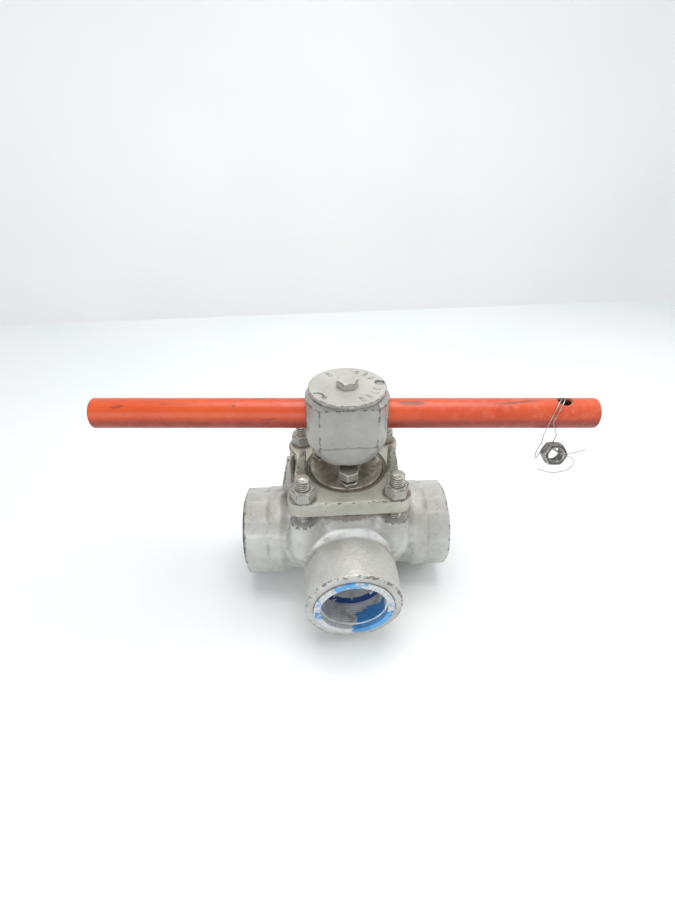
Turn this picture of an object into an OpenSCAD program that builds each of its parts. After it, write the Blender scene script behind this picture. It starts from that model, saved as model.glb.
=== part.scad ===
// Three-way tapered plug valve with a through-bar handle. Millimetres, +Z up.
// The origin is the centre of the base pad, under the stem. The run lies along X
// and the branch port opens towards -Y.

/* [Body casting] */
// Height of the port axis above the base pad
port_z = 50; // [48:1:54]
// From the stem axis to each port face
centre_to_end = 101.6; // [96:0.1:110]
// Radius of the hub at each port
hub_r = 44.2; // [42:0.1:46]
// Radius of the neck between a run hub and the barrel
run_neck_r = 41.5; // [40:0.5:43]
// Distance from the stem axis to the back of a run hub
hub_back = 64; // [60:1:70]
// Distance from the stem axis to the back of the branch hub
branch_back = 40; // [36:1:44]
// Radius of the upright barrel
barrel_r = 50; // [49:0.5:52]
// Radius of the base pad
pad_r = 35; // [30:1:38]
// Top of the barrel's neck, where the cover gasket sits
neck_top = 114.5; // [113:0.5:115]
// Top of the four stud bosses
boss_top = 105; // [100:1:108]
// Radius of a stud boss
boss_r = 13; // [12:0.5:14]

/* [Ports] */
// Radius of the threaded wall of a port
thread_r = 29.4; // [29:0.1:29.6]
// Depth of a port's socket
socket_depth = 26; // [24:1:30]
// Radius of the waterway behind the sockets
way_r = 24; // [20:1:25]
// Radius of the relief that takes a thread protector
relief_r = 33; // [32:0.5:34]
// Depth of that relief
relief_depth = 3.2; // [3:0.1:4]

/* [Plug and seals] */
// Plug radius at its lower end
plug_low_r = 31.2; // [30:0.1:32]
// Plug radius at its upper end
plug_high_r = 37.2; // [36.5:0.1:37.5]
// Lower end of the plug
plug_low = 12; // [11.5:0.5:13]
// Upper end of the plug
plug_high = 95; // [94:0.5:95.5]
// Radius of the stem
stem_r = 15; // [14:0.5:15]
// Wall of the plug's sleeve
sleeve_wall = 3; // [2.5:0.1:3.2]
// Radius of the passages in the plug
passage_r = 23; // [20:1:24]

/* [Cover] */
// Half the cover's width at its corners
cover_half_x = 55.8; // [55:0.1:57]
// Half the cover's depth
cover_half_y = 52; // [51.5:0.5:54]
// Half the cover's width at its waist
waist_half = 49.2; // [48.8:0.1:50]
// Underside of the cover
cover_low = 116; // [116:1:116]
// Thickness of the cover
cover_t = 16; // [14:1:18]
// Radius of the shallow step around the adjuster disc
recess_r = 38; // [37.8:0.1:38.2]
// Radius of the adjuster disc
gland_r = 34.5; // [34:0.5:35]
// Half the spacing of the cover studs
stud_half = 41.65; // [41:0.05:42]
// Height of the two stop lugs above the cover
lug_h = 27; // [24:1:30]

/* [Fasteners] */
// Radius of a cover stud
stud_r = 6.35; // [6:0.05:6.5]
// Top of the cover studs
stud_top = 154.6; // [150:0.1:156]
// Width across the flats of a cover nut
nut_flats = 19.05; // [19:0.05:20.6]
// Height of a cover nut
nut_h = 11.1; // [10:0.1:12]
// Width across the flats of an adjusting screw
screw_flats = 16; // [14:0.5:16]
// Distance of the adjusting screws from the stem axis
screw_ring = 26; // [25.5:0.1:26]

/* [Wrench head and handle] */
// Turn of everything on the stem, about Z, as the valve is stored
rest_turn = -3.85; // [-6:0.05:6]
// Radius of the wrench head
head_r = 36.6; // [36:0.1:36.8]
// Bottom of the wrench head
head_low = 152; // [151:0.5:154]
// Top of the wrench head
head_top = 215.6; // [214:0.1:217]
// Distance from the stem axis to each flat on the head
head_flat = 27.5; // [27:0.5:29]
// Height of the handle's axis
handle_z = 192; // [190:1:194]
// Outside radius of the handle pipe
handle_r = 13.35; // [13.3:0.05:13.35]
// Inside radius of the handle pipe
handle_bore_r = 10.45; // [10:0.05:10.8]
// Length of the handle on its long side
handle_left = 223.4; // [200:0.1:230]
// Length of the handle on its short side
handle_right = 218.4; // [205:0.1:230]
// Distance of the handle's cross hole from the stem axis
hole_x = 189; // [180:1:195]
// Radius of the handle's cross hole
hole_r = 6; // [5:0.5:6]

/* [Hidden] */
$fn = 96;

// Clearances: between fixed pieces, and of a shaft that turns or slides
seat_gap = 0.05;
running_gap = 0.06;
// How far a cutter runs past the face that it opens
past = 1;
// Angles, seen from above, of the branch and of the three adjusting screws
BRANCH = -90;
RIGHT = 0;
LEFT = 180;
SCREW_ANGLES = [-90, 150, 30];

cavity_top = 96;
counter_r = 42;
plug_slope = (plug_high_r - plug_low_r) / (plug_high - plug_low);
cover_top = cover_low + cover_t;
recess_floor = cover_top - 8;
gland_top = cover_top + 1;
head_foot_r = 27;
head_foot_h = 14;
head_shoulder = 4.6;
disc_r = 33.5;
disc_t = 3.8;
disc_top = head_top + disc_t;
stem_top = 176;
stem_flat = 10;
stem_flat_low = 148;
collar_low = 98.6;
collar_top = 109;

// A body of revolution about a port's axis, with its profile given as
// [radius, distance from the stem axis]
module on_port(angle) {
  translate([0, 0, port_z]) rotate([0, 0, angle]) rotate([0, 90, 0])
    children();
}

// A cylinder on a port's axis, from one distance to another
module port_rod(angle, r, from, to) {
  on_port(angle) translate([0, 0, from]) cylinder(r = r, h = to - from);
}

// A hexagonal prism with flats of width af and its corners chamfered
module hex_prism(af, h, low, chamfer_low, chamfer_high) {
  corner = af / sqrt(3);
  edge = 1.1;
  translate([0, 0, low]) intersection() {
    cylinder(r = corner, h = h, $fn = 6);
    rotate_extrude() polygon([
      [0, 0], [corner - chamfer_low * edge, 0],
      [corner + 0.1, chamfer_low * edge * 0.6 + 0.01],
      [corner + 0.1, h - chamfer_high * edge * 0.6 - 0.01],
      [corner - chamfer_high * edge, h], [0, h]
    ]);
  }
}

module at_studs() {
  for (x = [-1, 1], y = [-1, 1])
    translate([x * stud_half, y * stud_half, 0]) children();
}

module at_screw(i) {
  a = SCREW_ANGLES[i];
  translate([screw_ring * cos(a), screw_ring * sin(a), 0]) children();
}

module stem_turn() {
  rotate([0, 0, rest_turn]) children();
}

// ---- Body -------------------------------------------------------------

module run_hub(angle) {
  edge = 1.5;
  back = 3;
  on_port(angle) rotate_extrude() polygon([
    [0, 0], [run_neck_r, 0], [run_neck_r, hub_back - back], [hub_r, hub_back],
    [hub_r, centre_to_end - edge], [hub_r - edge, centre_to_end],
    [0, centre_to_end]
  ]);
}

module branch_hub() {
  edge = 1.5;
  shoulder = 8;
  on_port(BRANCH) rotate_extrude() polygon([
    [0, 0], [hub_r - shoulder, branch_back - shoulder], [hub_r, branch_back],
    [hub_r, centre_to_end - edge], [hub_r - edge, centre_to_end],
    [0, centre_to_end]
  ]);
}

module barrel() {
  round_r = 14;
  neck_r = 49.2;
  pad_h = 3;
  rotate_extrude() polygon(concat(
    [[0, 0], [pad_r, 0], [pad_r, pad_h]],
    [for (a = [0 : 15 : 90])
      [barrel_r - round_r + round_r * sin(a), pad_h + round_r * (1 - cos(a))]],
    [[barrel_r, boss_top - 3], [neck_r, boss_top + 2], [neck_r, neck_top],
     [0, neck_top]]
  ));
}

// The bosses for the cover studs, each spread at its foot and tied to the barrel
module stud_bosses() {
  foot = 50;
  spread_r = 17;
  spread_low = 68;
  spread_high = 76;
  neck_low = 97;
  web_half = boss_r - 3;
  at_studs() rotate_extrude() polygon([
    [0, foot], [spread_r / 2, foot], [spread_r, spread_low],
    [spread_r, spread_high], [boss_r, neck_low], [boss_r, boss_top], [0, boss_top]
  ]);
  for (a = [45 : 90 : 315])
    rotate([0, 0, a]) translate([0, -web_half, spread_low])
      cube([stud_half * sqrt(2), 2 * web_half, boss_top - 1 - spread_low]);
}

// The upright lug cast on the left of the body, beside the cover
module ear() {
  ear_y = 6;
  ear_t = 9;
  top = 137;
  inner = -50;
  translate([0, ear_y + ear_t, 0]) rotate([90, 0, 0]) linear_extrude(ear_t)
    polygon([
      [-30, 60], [-66, 90], [-57.9, top - 5], [inner - 5.5, top],
      [inner - 1.5, top], [inner, top - 1.5], [inner, boss_top + 7], [-30, boss_top + 7]
    ]);
}

module port_socket(angle, relief) {
  port_rod(angle, way_r, 0, centre_to_end - socket_depth + past);
  port_rod(angle, thread_r, centre_to_end - socket_depth, centre_to_end + past);
  mouth = 1.5;
  if (relief)
    port_rod(angle, relief_r, centre_to_end - relief_depth, centre_to_end + past);
  else
    on_port(angle) translate([0, 0, centre_to_end - mouth])
      cylinder(r1 = thread_r, r2 = thread_r + mouth, h = mouth + 0.001);
}

module valve_body() {
  stud_floor = 82;
  lower = plug_low - 3;
  low_r = plug_low_r + sleeve_wall - 3 * plug_slope + seat_gap;
  color("#b9bab6") difference() {
    union() {
      barrel();
      run_hub(LEFT);
      run_hub(RIGHT);
      branch_hub();
      stud_bosses();
      ear();
    }
    translate([0, 0, lower])
      cylinder(r1 = low_r, r2 = low_r + plug_slope * (cavity_top - lower),
               h = cavity_top - lower);
    translate([0, 0, cavity_top]) cylinder(r = counter_r, h = neck_top);
    port_socket(LEFT, true);
    port_socket(RIGHT, false);
    port_socket(BRANCH, true);
    at_studs() translate([0, 0, stud_floor])
      cylinder(r = stud_r + seat_gap, h = neck_top);
  }
}

// ---- Plug, seals and adjustment ----------------------------------------

module plug_cone(extra) {
  translate([0, 0, plug_low])
    cylinder(r1 = plug_low_r + extra, r2 = plug_high_r + extra,
             h = plug_high - plug_low);
}

module plug_sleeve() {
  color("#efefe8") difference() {
    plug_cone(sleeve_wall);
    translate([0, 0, -0.01]) plug_cone(running_gap);
    translate([0, 0, plug_high - 0.5]) cylinder(r = plug_high_r + running_gap, h = past);
    for (a = [LEFT, RIGHT, BRANCH])
      port_rod(a, way_r, plug_low_r / 2, 2 * plug_high_r);
  }
}

module tapered_plug() {
  color("#c8c9c8") stem_turn() difference() {
    plug_cone(0);
    port_rod(LEFT, passage_r, 0, 2 * plug_high_r);
    port_rod(RIGHT, passage_r, 0, 2 * plug_high_r);
    port_rod(BRANCH, passage_r, 0, 2 * plug_high_r);
  }
}

// The plug's stem, round up to its double-D end
module plug_stem() {
  color("#c8c9c8") stem_turn() {
    translate([0, 0, plug_high]) cylinder(r = stem_r, h = stem_flat_low - plug_high);
    intersection() {
      translate([0, 0, stem_flat_low]) cylinder(r = stem_r, h = stem_top - stem_flat_low);
      translate([-stem_r, -stem_flat, stem_flat_low])
        cube([2 * stem_r, 2 * stem_flat, stem_top]);
    }
  }
}

// A flat ring from one height to another
module ring(inner, outer, low, high) {
  difference() {
    translate([0, 0, low]) cylinder(r = outer, h = high - low);
    translate([0, 0, low - past]) cylinder(r = inner, h = high - low + 2 * past);
  }
}

module top_diaphragm() {
  color("#e6e6df") ring(stem_r + running_gap, counter_r - 0.3, cavity_top, collar_low - 0.1);
}

module thrust_collar() {
  color("#9fa1a3") ring(stem_r + running_gap, 36, collar_low, collar_top);
}

module stem_packing() {
  color("#3a3a3a") ring(stem_r + running_gap, 20.5, collar_top, cover_low);
}

module cover_gasket() {
  color("#4a4642") ring(counter_r + 0.5, 49, neck_top, cover_low);
}

module adjuster_disc() {
  edge = 0.8;
  color("#8d8574") difference() {
    translate([0, 0, recess_floor]) rotate_extrude() polygon([
      [stem_r + running_gap, 0], [gland_r, 0],
      [gland_r, gland_top - recess_floor - edge],
      [gland_r - edge, gland_top - recess_floor],
      [stem_r + running_gap, gland_top - recess_floor]
    ]);
    for (i = [0 : 2])
      at_screw(i) translate([0, 0, recess_floor - past])
        cylinder(r = 5 + running_gap, h = cover_t);
  }
}

// ---- Cover -------------------------------------------------------------

module cover_outline() {
  corner = 12.7;
  difference() {
    union() {
      for (x = [-1, 1], y = [-1, 1])
        translate([x * (cover_half_x - corner), y * (cover_half_y - corner)])
          circle(r = corner);
      square([2 * cover_half_x, 2 * (cover_half_y - corner)], center = true);
      square([2 * (cover_half_x - corner), 2 * cover_half_y], center = true);
    }
    for (side = [-1, 1])
      polygon([
        [side * (cover_half_x + past), -34], [side * waist_half, -17],
        [side * waist_half, 20], [side * (cover_half_x + past), 34]
      ]);
  }
}

// One of the two stop lugs, upright beside the wrench head
module stop_lug(side) {
  lug_y = -15;
  lug_t = 10;
  inner = 37.9;
  tip_r = 2.6;
  top = cover_top + lug_h;
  translate([0, lug_y + lug_t, 0]) rotate([90, 0, 0]) linear_extrude(lug_t)
    union() {
      polygon([
        [side * inner, cover_top - past], [side * 48.4, cover_top - past],
        [side * 47.6, cover_top + lug_h / 2],
        [side * (inner + 2 * tip_r), top - tip_r], [side * inner, top - tip_r]
      ]);
      translate([side * (inner + tip_r), top - tip_r]) circle(r = tip_r);
    }
}

module cover_plate() {
  recess_step = 1.2;
  color("#a8a698") difference() {
    union() {
      translate([0, 0, cover_low]) linear_extrude(cover_t) cover_outline();
      stop_lug(-1);
      stop_lug(1);
    }
    translate([0, 0, recess_floor]) cylinder(r = gland_r + seat_gap, h = cover_t);
    translate([0, 0, cover_top - recess_step]) cylinder(r = recess_r, h = cover_t);
    translate([0, 0, cover_low - past]) cylinder(r = stem_r + 2, h = cover_t);
    for (i = [0 : 2])
      at_screw(i) translate([0, 0, cover_low - past])
        cylinder(r = 5 + running_gap, h = cover_t);
    at_studs() translate([0, 0, cover_low - past])
      cylinder(r = stud_r + 0.5, h = cover_t + 2 * past);
  }
}

module cover_studs() {
  stud_low = 83;
  tip = 1;
  color("#8f8f8c") at_studs() rotate_extrude() polygon([
    [0, stud_low], [stud_r - tip, stud_low], [stud_r, stud_low + tip],
    [stud_r, stud_top - tip], [stud_r - tip, stud_top], [0, stud_top]
  ]);
}

module cover_nuts() {
  turns = [0, 14, 8, 22];
  color("#a9aaa6") for (i = [0 : 3]) {
    x = i < 2 ? -1 : 1;
    y = i % 2 == 0 ? -1 : 1;
    translate([x * stud_half, y * stud_half, 0]) difference() {
      rotate([0, 0, turns[i]]) hex_prism(nut_flats, nut_h, cover_top, 0, 1);
      translate([0, 0, cover_top - past])
        cylinder(r = stud_r + seat_gap, h = nut_h + 2 * past);
    }
  }
}

module adjusting_screw(i) {
  head_h = 8.4;
  head_base = 140.8;
  turn = [20, 0, 45][i];
  color("#9d9e9b") at_screw(i) {
    translate([0, 0, collar_top + 0.1])
      cylinder(r = 5, h = head_base - collar_top);
    rotate([0, 0, turn]) hex_prism(screw_flats, head_h, head_base, 1, 1);
  }
}

module adjusting_screw_front() {
  adjusting_screw(0);
}

module adjusting_screw_left() {
  adjusting_screw(1);
}

module adjusting_screw_right() {
  adjusting_screw(2);
}

module jam_nuts() {
  jam_h = 5;
  color("#8f8e88") for (i = [0 : 2])
    at_screw(i) difference() {
      rotate([0, 0, 12]) hex_prism(screw_flats, jam_h, gland_top, 0, 1);
      translate([0, 0, gland_top - past])
        cylinder(r = 5 + running_gap, h = jam_h + 2 * past);
    }
}

// ---- Wrench head and handle --------------------------------------------

module head_profile() {
  foot_edge = 1.5;
  polygon([
    [0, head_low], [head_foot_r - foot_edge, head_low],
    [head_foot_r + foot_edge * 0.7, head_low + foot_edge],
    [head_r - 0.8, head_low + head_foot_h - 2], [head_r, head_low + head_foot_h],
    [head_r, head_top - head_shoulder], [disc_r - 0.8, head_top - 0.5],
    [disc_r - 0.8, head_top], [0, head_top]
  ]);
}

module wrench_head() {
  clamp_r = 5 + running_gap;
  set_r = 4 + seat_gap;
  set_z = 165;
  color("#bfc0bd") stem_turn() difference() {
    intersection() {
      rotate_extrude() head_profile();
      translate([-head_r - past, -head_flat, head_low - past])
        cube([2 * (head_r + past), 2 * head_flat, head_top]);
    }
    translate([-head_r - past, 0, handle_z]) rotate([0, 90, 0])
      cylinder(r = handle_r + running_gap, h = 2 * (head_r + past));
    intersection() {
      translate([0, 0, head_low - past]) cylinder(r = stem_r + seat_gap, h = 25.3);
      translate([-stem_r - past, -stem_flat - seat_gap, head_low - past])
        cube([2 * (stem_r + past), 2 * (stem_flat + seat_gap), 25.3]);
    }
    translate([0, 0, handle_z]) cylinder(r = clamp_r, h = head_top);
    translate([0, 0, set_z]) rotate([-90, 0, 0]) cylinder(r = set_r, h = head_r);
  }
}

module head_set_screw() {
  set_z = 165;
  socket = 4;
  color("#5c5c5c") stem_turn() translate([0, stem_flat + 0.1, set_z])
    rotate([-90, 0, 0]) difference() {
      cylinder(r = 4, h = 16);
      translate([0, 0, 16 - socket]) cylinder(r = 2.3, h = socket + past, $fn = 6);
    }
}

module indicator_disc() {
  edge = 0.5;
  dimple_r = 2.3;
  color("#c9c9c4") stem_turn() difference() {
    translate([0, 0, head_top]) rotate_extrude() polygon([
      [5 + running_gap, 0], [disc_r - edge, 0], [disc_r, edge],
      [disc_r, disc_t - edge], [disc_r - edge, disc_t], [5 + running_gap, disc_t]
    ]);
    for (y = [-1.2, 1.2])
      translate([28.8, 3 + y, disc_top - 1.4]) cylinder(r = dimple_r, h = disc_t);
  }
}

module clamp_bolt() {
  bolt_head_h = 6.1;
  color("#b5b4ab") stem_turn() {
    tip = handle_z + handle_r + 0.15;
    translate([0, 0, tip]) cylinder(r = 5, h = disc_top - tip + past);
    rotate([0, 0, 12]) hex_prism(screw_flats, bolt_head_h, disc_top, 0, 1);
  }
}

module handle_pipe() {
  edge = 1.6;
  lip = 0.6;
  mid = (handle_r + handle_bore_r) / 2;
  length = handle_left + handle_right;
  color("#e2521b") stem_turn() difference() {
    translate([-handle_left, 0, handle_z]) rotate([0, 90, 0])
      rotate_extrude() polygon([
        [handle_bore_r, lip], [mid, 0], [handle_r - edge / 2, edge / 3],
        [handle_r, edge], [handle_r, length - edge],
        [handle_r - edge / 2, length - edge / 3], [mid, length],
        [handle_bore_r, length - lip]
      ]);
    translate([hole_x, 0, handle_z - 2 * handle_r])
      cylinder(r = hole_r, h = 4 * handle_r);
  }
}

// ---- Tie wire and the nut that hangs on it ------------------------------

wire_r = 0.4;
wire_sides = 8;
hanging_centre = [188, -13, 157];
hanging_tilt = 20;

// The wire's route in the handle's own turn: a straight tail, through the
// nut, up over the handle, down into the cross hole and back, down the left
// of the nut, through it again and round below it in a curved tail.
WIRE_ROUTE = [
  [209, -23, 169], [203, -23, 166.5], [197, -22.5, 164.5], [191, -19.5, 162.6],
  [189, -13, 161], [189, -6, 160], [189.5, -3.5, 164], [187.5, -8, 171],
  [184, -13, 179], [179.5, -14.9, 187], [177.5, -14.5, 192], [180, -12.9, 198.5],
  [184.5, -7.5, 204.6], [188, -2, 207], [190, 1, 205.6], [190.2, 1.6, 202.6],
  [189, 1.4, 201.2], [187.4, 1.2, 202.6], [186.2, 0, 205.9], [184, -3, 206.6],
  [180, -8.6, 203.9], [176, -13.3, 198], [173.8, -14.9, 190], [173, -14.2, 182.5],
  [173.8, -12.5, 175], [175.2, -10.5, 167], [174.5, -8.5, 159], [173.4, -10, 152.5],
  [175.5, -9.5, 148.5], [178, -6.5, 149.5], [182, -3.4, 153.5], [185.5, -3.2, 158.5],
  [186.8, -7.5, 160.2], [187, -13, 161.1], [188.5, -20.4, 163.2], [194, -23, 162],
  [201, -22, 158], [205.5, -20, 150.5], [203.5, -18, 142.5], [196, -17, 138.2],
  [186, -16.5, 138], [177, -16, 141]
];
SMOOTH_STEPS = 2;

function unit(v) = v / norm(v);

// A point between b and c on the smooth curve through a, b, c and d
function between(a, b, c, d, t) =
  0.5 * ((2 * b) + (c - a) * t + (2 * a - 5 * b + 4 * c - d) * t * t
    + (3 * b - a - 3 * c + d) * t * t * t);

function smooth_route(p) = let (n = len(p)) [
  for (i = [0 : n - 2], s = [0 : SMOOTH_STEPS - 1])
    between(p[max(i - 1, 0)], p[i], p[i + 1], p[min(i + 2, n - 1)], s / SMOOTH_STEPS),
  p[n - 1]
];

function tangents(p) = let (n = len(p)) [
  for (i = [0 : n - 1]) unit(p[min(i + 1, n - 1)] - p[max(i - 1, 0)])
];

function across(u, t) = unit(u - (u * t) * t);

// A side direction at each point that turns as little as it can
function sides(t) = [
  for (i = 0, u = across([0, 1, 0.3], t[0]); i < len(t);
       i = i + 1, u = across(u, t[min(i, len(t) - 1)])) u
];

module swept_wire(route, r, count) {
  p = smooth_route(route);
  t = tangents(p);
  u = sides(t);
  rings = len(p);
  points = [
    for (i = [0 : rings - 1], k = [0 : count - 1])
      let (a = 360 * k / count, v = cross(t[i], u[i]))
        p[i] + r * (cos(a) * u[i] + sin(a) * v)
  ];
  walls = [
    for (i = [0 : rings - 2], k = [0 : count - 1])
      let (j = (k + 1) % count)
        [i * count + k, (i + 1) * count + k, (i + 1) * count + j, i * count + j]
  ];
  first = [for (k = [0 : count - 1]) k];
  last = [for (k = [count - 1 : -1 : 0]) (rings - 1) * count + k];
  polyhedron(points, concat(walls, [first], [last]));
}

module tie_wire() {
  color("#77787a") stem_turn() swept_wire(WIRE_ROUTE, wire_r, wire_sides);
}

module hanging_nut() {
  color("#4c4742") stem_turn() translate(hanging_centre)
    rotate([90 - hanging_tilt, 0, 0]) difference() {
      hex_prism(nut_flats, nut_h, -nut_h / 2, 1, 1);
      translate([0, 0, -nut_h]) cylinder(r = stud_r, h = 2 * nut_h);
    }
}

// ---- Thread protectors ---------------------------------------------------

module protector(angle) {
  flange_r = 36.5;
  flange_t = 2;
  inner_r = 30.6;
  spigot = 3;
  on_port(angle) translate([0, 0, centre_to_end]) rotate_extrude() polygon([
    [inner_r, -spigot], [relief_r - seat_gap, -spigot], [relief_r - seat_gap, 0],
    [flange_r, 0], [flange_r, flange_t - 0.4], [flange_r - 0.4, flange_t],
    [inner_r + 0.5, flange_t], [inner_r, flange_t - 0.5]
  ]);
}

module front_protector() {
  color("#4f93cf") protector(BRANCH);
}

module left_protector() {
  color("#26345f") protector(LEFT);
}

valve_body();
plug_sleeve();
top_diaphragm();
thrust_collar();
stem_packing();
cover_gasket();
cover_plate();
adjuster_disc();
cover_studs();
cover_nuts();
jam_nuts();
adjusting_screw_front();
adjusting_screw_left();
adjusting_screw_right();
tapered_plug();
plug_stem();
wrench_head();
head_set_screw();
indicator_disc();
clamp_bolt();
handle_pipe();
tie_wire();
hanging_nut();
front_protector();
left_protector();
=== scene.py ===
"""A three-way plug valve with a through-bar handle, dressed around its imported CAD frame.

Shapes are worked out in millimetres as distance fields and turned into meshes in
metres. The frame's origin is the centre of the base pad, +Z up, branch towards -Y.
"""

import math

import bpy
import numpy as np
from mathutils import Matrix


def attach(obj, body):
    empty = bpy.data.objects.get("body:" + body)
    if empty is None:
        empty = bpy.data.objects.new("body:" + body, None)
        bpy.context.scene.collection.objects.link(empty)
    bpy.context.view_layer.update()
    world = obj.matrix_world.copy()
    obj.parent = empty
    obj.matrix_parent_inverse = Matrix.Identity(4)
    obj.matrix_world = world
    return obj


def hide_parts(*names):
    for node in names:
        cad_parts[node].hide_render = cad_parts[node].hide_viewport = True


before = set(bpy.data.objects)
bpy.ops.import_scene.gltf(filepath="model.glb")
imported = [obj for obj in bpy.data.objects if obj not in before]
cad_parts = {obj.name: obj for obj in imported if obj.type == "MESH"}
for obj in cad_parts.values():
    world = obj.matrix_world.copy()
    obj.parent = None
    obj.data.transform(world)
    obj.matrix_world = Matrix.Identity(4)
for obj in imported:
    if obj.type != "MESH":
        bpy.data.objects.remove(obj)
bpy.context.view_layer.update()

MM = 0.001
# Turn about Z of everything on the stem, and of the camera, in degrees
REST_TURN = -3.85
PORT_Z = 50.0
CENTRE_TO_END = 101.6
STUD_HALF = 41.65
COVER_TOP = 132.0
HANDLE_Z = 192.0
DISC_TOP = 219.4
FLATS_TURN = 3.5
SCREW_RING = 26.0
SCREW_ANGLES = (-90.0, 150.0, 30.0)
WAY_R = 24.0


# ---- Camera, light and stage ------------------------------------------------------


def make_camera():
    data = bpy.data.cameras.new("camera")
    data.sensor_width = 36.0
    data.lens = 18.2
    data.shift_y = -0.0017
    data.clip_start = 0.01
    data.clip_end = 20.0
    cam = bpy.data.objects.new("camera", data)
    cam.location = (-0.0312, -0.3396, 0.4089)
    cam.rotation_euler = (math.radians(53.08), 0.0, math.radians(REST_TURN))
    bpy.context.scene.collection.objects.link(cam)
    bpy.context.scene.camera = cam


def make_lamp(name, place, aim, size, power, colour):
    data = bpy.data.lights.new(name, "AREA")
    data.shape = "RECTANGLE"
    data.size, data.size_y = size
    data.energy = power
    data.color = colour
    lamp = bpy.data.objects.new(name, data)
    lamp.location = place
    way = np.array(aim, float) - np.array(place, float)
    lamp.rotation_euler = (
        math.acos(-way[2] / np.linalg.norm(way)),
        0.0,
        math.atan2(-way[0], way[1]),
    )
    bpy.context.scene.collection.objects.link(lamp)


def make_light():
    world = bpy.data.worlds.new("studio")
    world.use_nodes = True
    background = world.node_tree.nodes["Background"]
    background.inputs["Color"].default_value = (0.95, 0.97, 0.985, 1.0)
    background.inputs["Strength"].default_value = 0.54
    bpy.context.scene.world = world
    make_lamp("key", (0.05, 0.2, 1.15), (0.0, 0.0, 0.1), (0.9, 0.7), 8.6, (1.0, 0.99, 0.97))
    make_lamp("fill", (-0.45, -1.0, 0.5), (0.0, 0.0, 0.08), (0.9, 0.6), 3.9, (0.98, 0.99, 1.0))
    make_lamp("rim", (0.95, -0.1, 0.6), (0.05, 0.0, 0.1), (0.5, 0.7), 2.6, (1.0, 0.98, 0.95))
    view = bpy.context.scene.view_settings
    view.view_transform = "Standard"
    view.look = "None"
    view.exposure = 0.0
    view.gamma = 1.0


# ---- Distance fields, in millimetres ----------------------------------------------


def smin(a, b, k):
    """The union of two fields, blended over k."""
    h = np.maximum(k - np.abs(a - b), 0.0) / k
    return np.minimum(a, b) - h * h * k * 0.25


def smax(a, b, k):
    """The intersection of two fields, blended over k."""
    return -smin(-a, -b, k)


def cut(a, b, k=0.8):
    """Field a with b taken away."""
    return smax(a, -b, k)


def rounded(a, b, edge):
    """The intersection of two fields with its edge rounded to a radius."""
    a = a + edge
    b = b + edge
    inner = np.minimum(np.maximum(a, b), 0.0)
    return inner + np.hypot(np.maximum(a, 0.0), np.maximum(b, 0.0)) - edge


def between(t, low, high):
    """The field of a slab from low to high along one axis."""
    return np.abs(t - 0.5 * (low + high)) - 0.5 * (high - low)


def spun(x, y, degrees):
    """Coordinates as seen by a shape that is turned by degrees about Z."""
    c, s = math.cos(math.radians(degrees)), math.sin(math.radians(degrees))
    return x * c + y * s, y * c - x * s


def hex_field(x, y, z, flats, low, high, low_cut, high_cut):
    """A hexagonal prism, corners at 0, 60... degrees, its chosen ends chamfered."""
    half = 0.5 * flats
    walls = None
    for angle in (30.0, 90.0, 150.0):
        across, _ = spun(x, y, angle)
        wall = np.abs(across) - half
        walls = wall if walls is None else smax(walls, wall, 0.5)
    field = rounded(walls, between(z, low, high), 0.25)
    radius = np.hypot(x, y)
    if high_cut:
        field = smax(field, 0.5 * (radius - 0.97 * half) + 0.866 * (z - high), 0.3)
    if low_cut:
        field = smax(field, 0.5 * (radius - 0.97 * half) + 0.866 * (low - z), 0.3)
    return field


# ---- From fields to meshes --------------------------------------------------------


def sampled(field, low, high, step):
    """The field on a grid, worked out in slabs to save memory."""
    x, y, z = (np.arange(a, b + step, step, dtype=np.float32) for a, b in zip(low, high))
    size = (len(y), len(z))
    slabs = []
    for i in range(0, len(x), 16):
        part = x[i : i + 16, None, None]
        values = field(part, y[None, :, None], z[None, None, :])
        slabs.append(np.broadcast_to(values, (len(part), *size)).astype(np.float32))
    return np.concatenate(slabs)


def surface_net(values):
    """Vertices, in grid steps, and quads of the surface where the values change sign."""
    shape = values.shape
    ids, places, quads = [], [], []
    for axis in range(3):
        u, v = (axis + 1) % 3, (axis + 2) % 3
        first = np.take(values, range(shape[axis] - 1), axis)
        second = np.take(values, range(1, shape[axis]), axis)
        crossing = (first < 0) != (second < 0)
        index = np.argwhere(crossing)
        a, b = first[crossing], second[crossing]
        place = index.astype(np.float64)
        place[:, axis] += a / (a - b)
        ring = []
        for back_u, back_v in ((0, 0), (1, 0), (1, 1), (0, 1)):
            cell = index.copy()
            cell[:, u] -= back_u
            cell[:, v] -= back_v
            flat = np.ravel_multi_index(cell.T, shape)
            ring.append(flat)
            ids.append(flat)
            places.append(place)
        quad = np.stack(ring, 1)
        flip = a > 0
        quad[flip] = quad[flip][:, ::-1]
        quads.append(quad)
    cells, slots = np.unique(np.concatenate(ids), return_inverse=True)
    count = np.bincount(slots)
    places = np.concatenate(places)
    points = np.stack([np.bincount(slots, places[:, i]) / count for i in range(3)], 1)
    faces = np.searchsorted(cells, np.concatenate(quads))
    return points, faces


def gradient(field, points, h):
    slope = np.empty_like(points)
    for i in range(3):
        ahead, behind = points.copy(), points.copy()
        ahead[:, i] += h
        behind[:, i] -= h
        slope[:, i] = (field(*ahead.T) - field(*behind.T)) / (2 * h)
    return slope


def settled(field, points, step):
    """Points moved onto the field's surface, each by less than a grid step."""
    for _ in range(3):
        slope = gradient(field, points, 0.05)
        size = np.maximum((slope * slope).sum(1), 0.25)
        move = slope * (field(*points.T) / size)[:, None]
        points = points - np.clip(move, -0.4 * step, 0.4 * step)
    return points


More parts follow.
